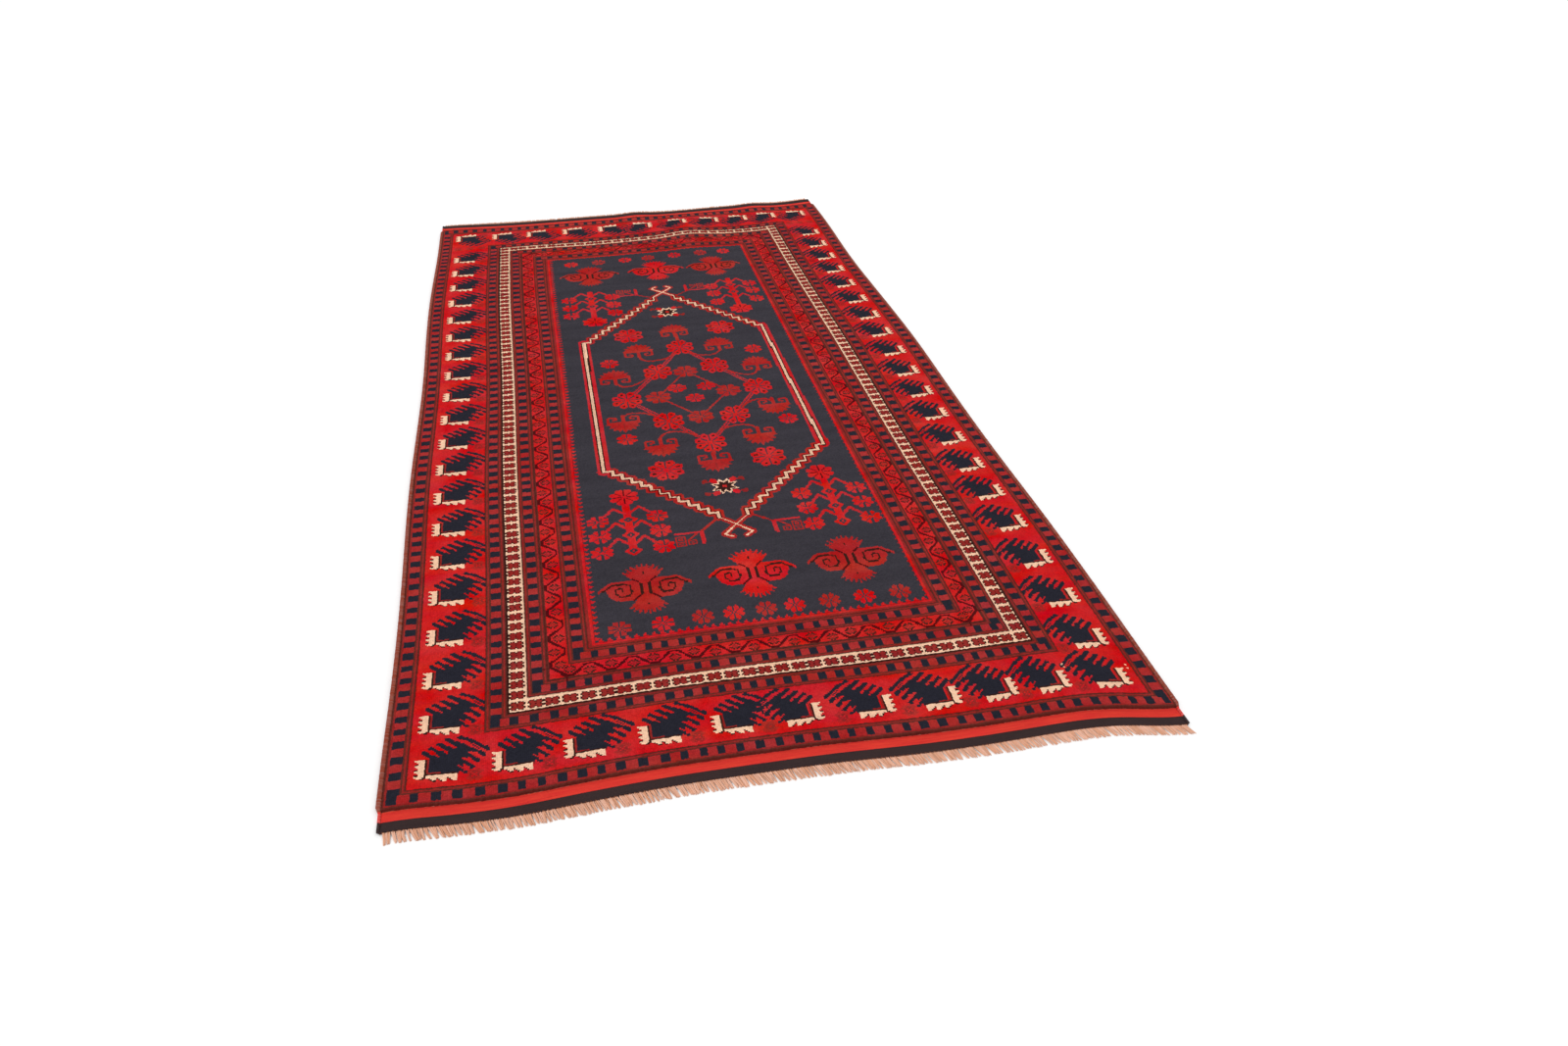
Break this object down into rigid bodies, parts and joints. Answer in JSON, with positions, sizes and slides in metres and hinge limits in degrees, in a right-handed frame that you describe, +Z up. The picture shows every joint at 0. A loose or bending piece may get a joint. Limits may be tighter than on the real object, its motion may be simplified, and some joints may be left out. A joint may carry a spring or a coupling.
{
  "type": "area rug",
  "caption": "Rectangular hand-knotted wool area rug with a stepped hexagonal medallion, framed by guard stripes and borders, flat-woven ends and a short fringe.",
  "frame": {"origin": "on the floor, under the middle of the rug's outline", "axes": "+Y along the rug from its near end to its far end, +X across it, +Z up out of the pile"},
  "size_m": [1.244, 2.5086, 0.009],
  "materials": {
    "ground_weave": "flat woven wool warps and wefts",
    "navy_pile": "cut wool pile",
    "red_pile": "cut wool pile",
    "rust_pile": "cut wool pile",
    "ivory_pile": "cut wool pile",
    "selvedge_wool": "wool overcasting",
    "core_yarn": "undyed wool warps",
    "red_kilim": "weft-faced flat weave",
    "black_kilim": "weft-faced flat weave",
    "cord_yarn": "two-ply twined wool",
    "fringe_yarn": "loose plied wool warps"
  },
  "bodies": {
    "root": {"ground_weave": "ground_weave", "medallion_pile": "navy_pile", "field_pile": "navy_pile", "sawtooth_pile": "red_pile", "field_guard_pile": "rust_pile", "vine_border_pile": "red_pile", "inner_guard_pile": "rust_pile", "ivory_border_pile": "ivory_pile", "middle_guard_pile": "rust_pile", "main_border_pile": "red_pile", "outer_guard_pile": "rust_pile", "left_selvedge_core": "core_yarn", "left_selvedge_wrap": "selvedge_wool", "right_selvedge_core": "core_yarn", "right_selvedge_wrap": "selvedge_wool", "near_red_kilim": "red_kilim", "far_red_kilim": "red_kilim", "near_black_kilim": "black_kilim", "far_black_kilim": "black_kilim", "near_end_cord": "cord_yarn", "far_end_cord": "cord_yarn", "near_fringe": "fringe_yarn", "far_fringe": "fringe_yarn"}
  },
  "joints": []
}
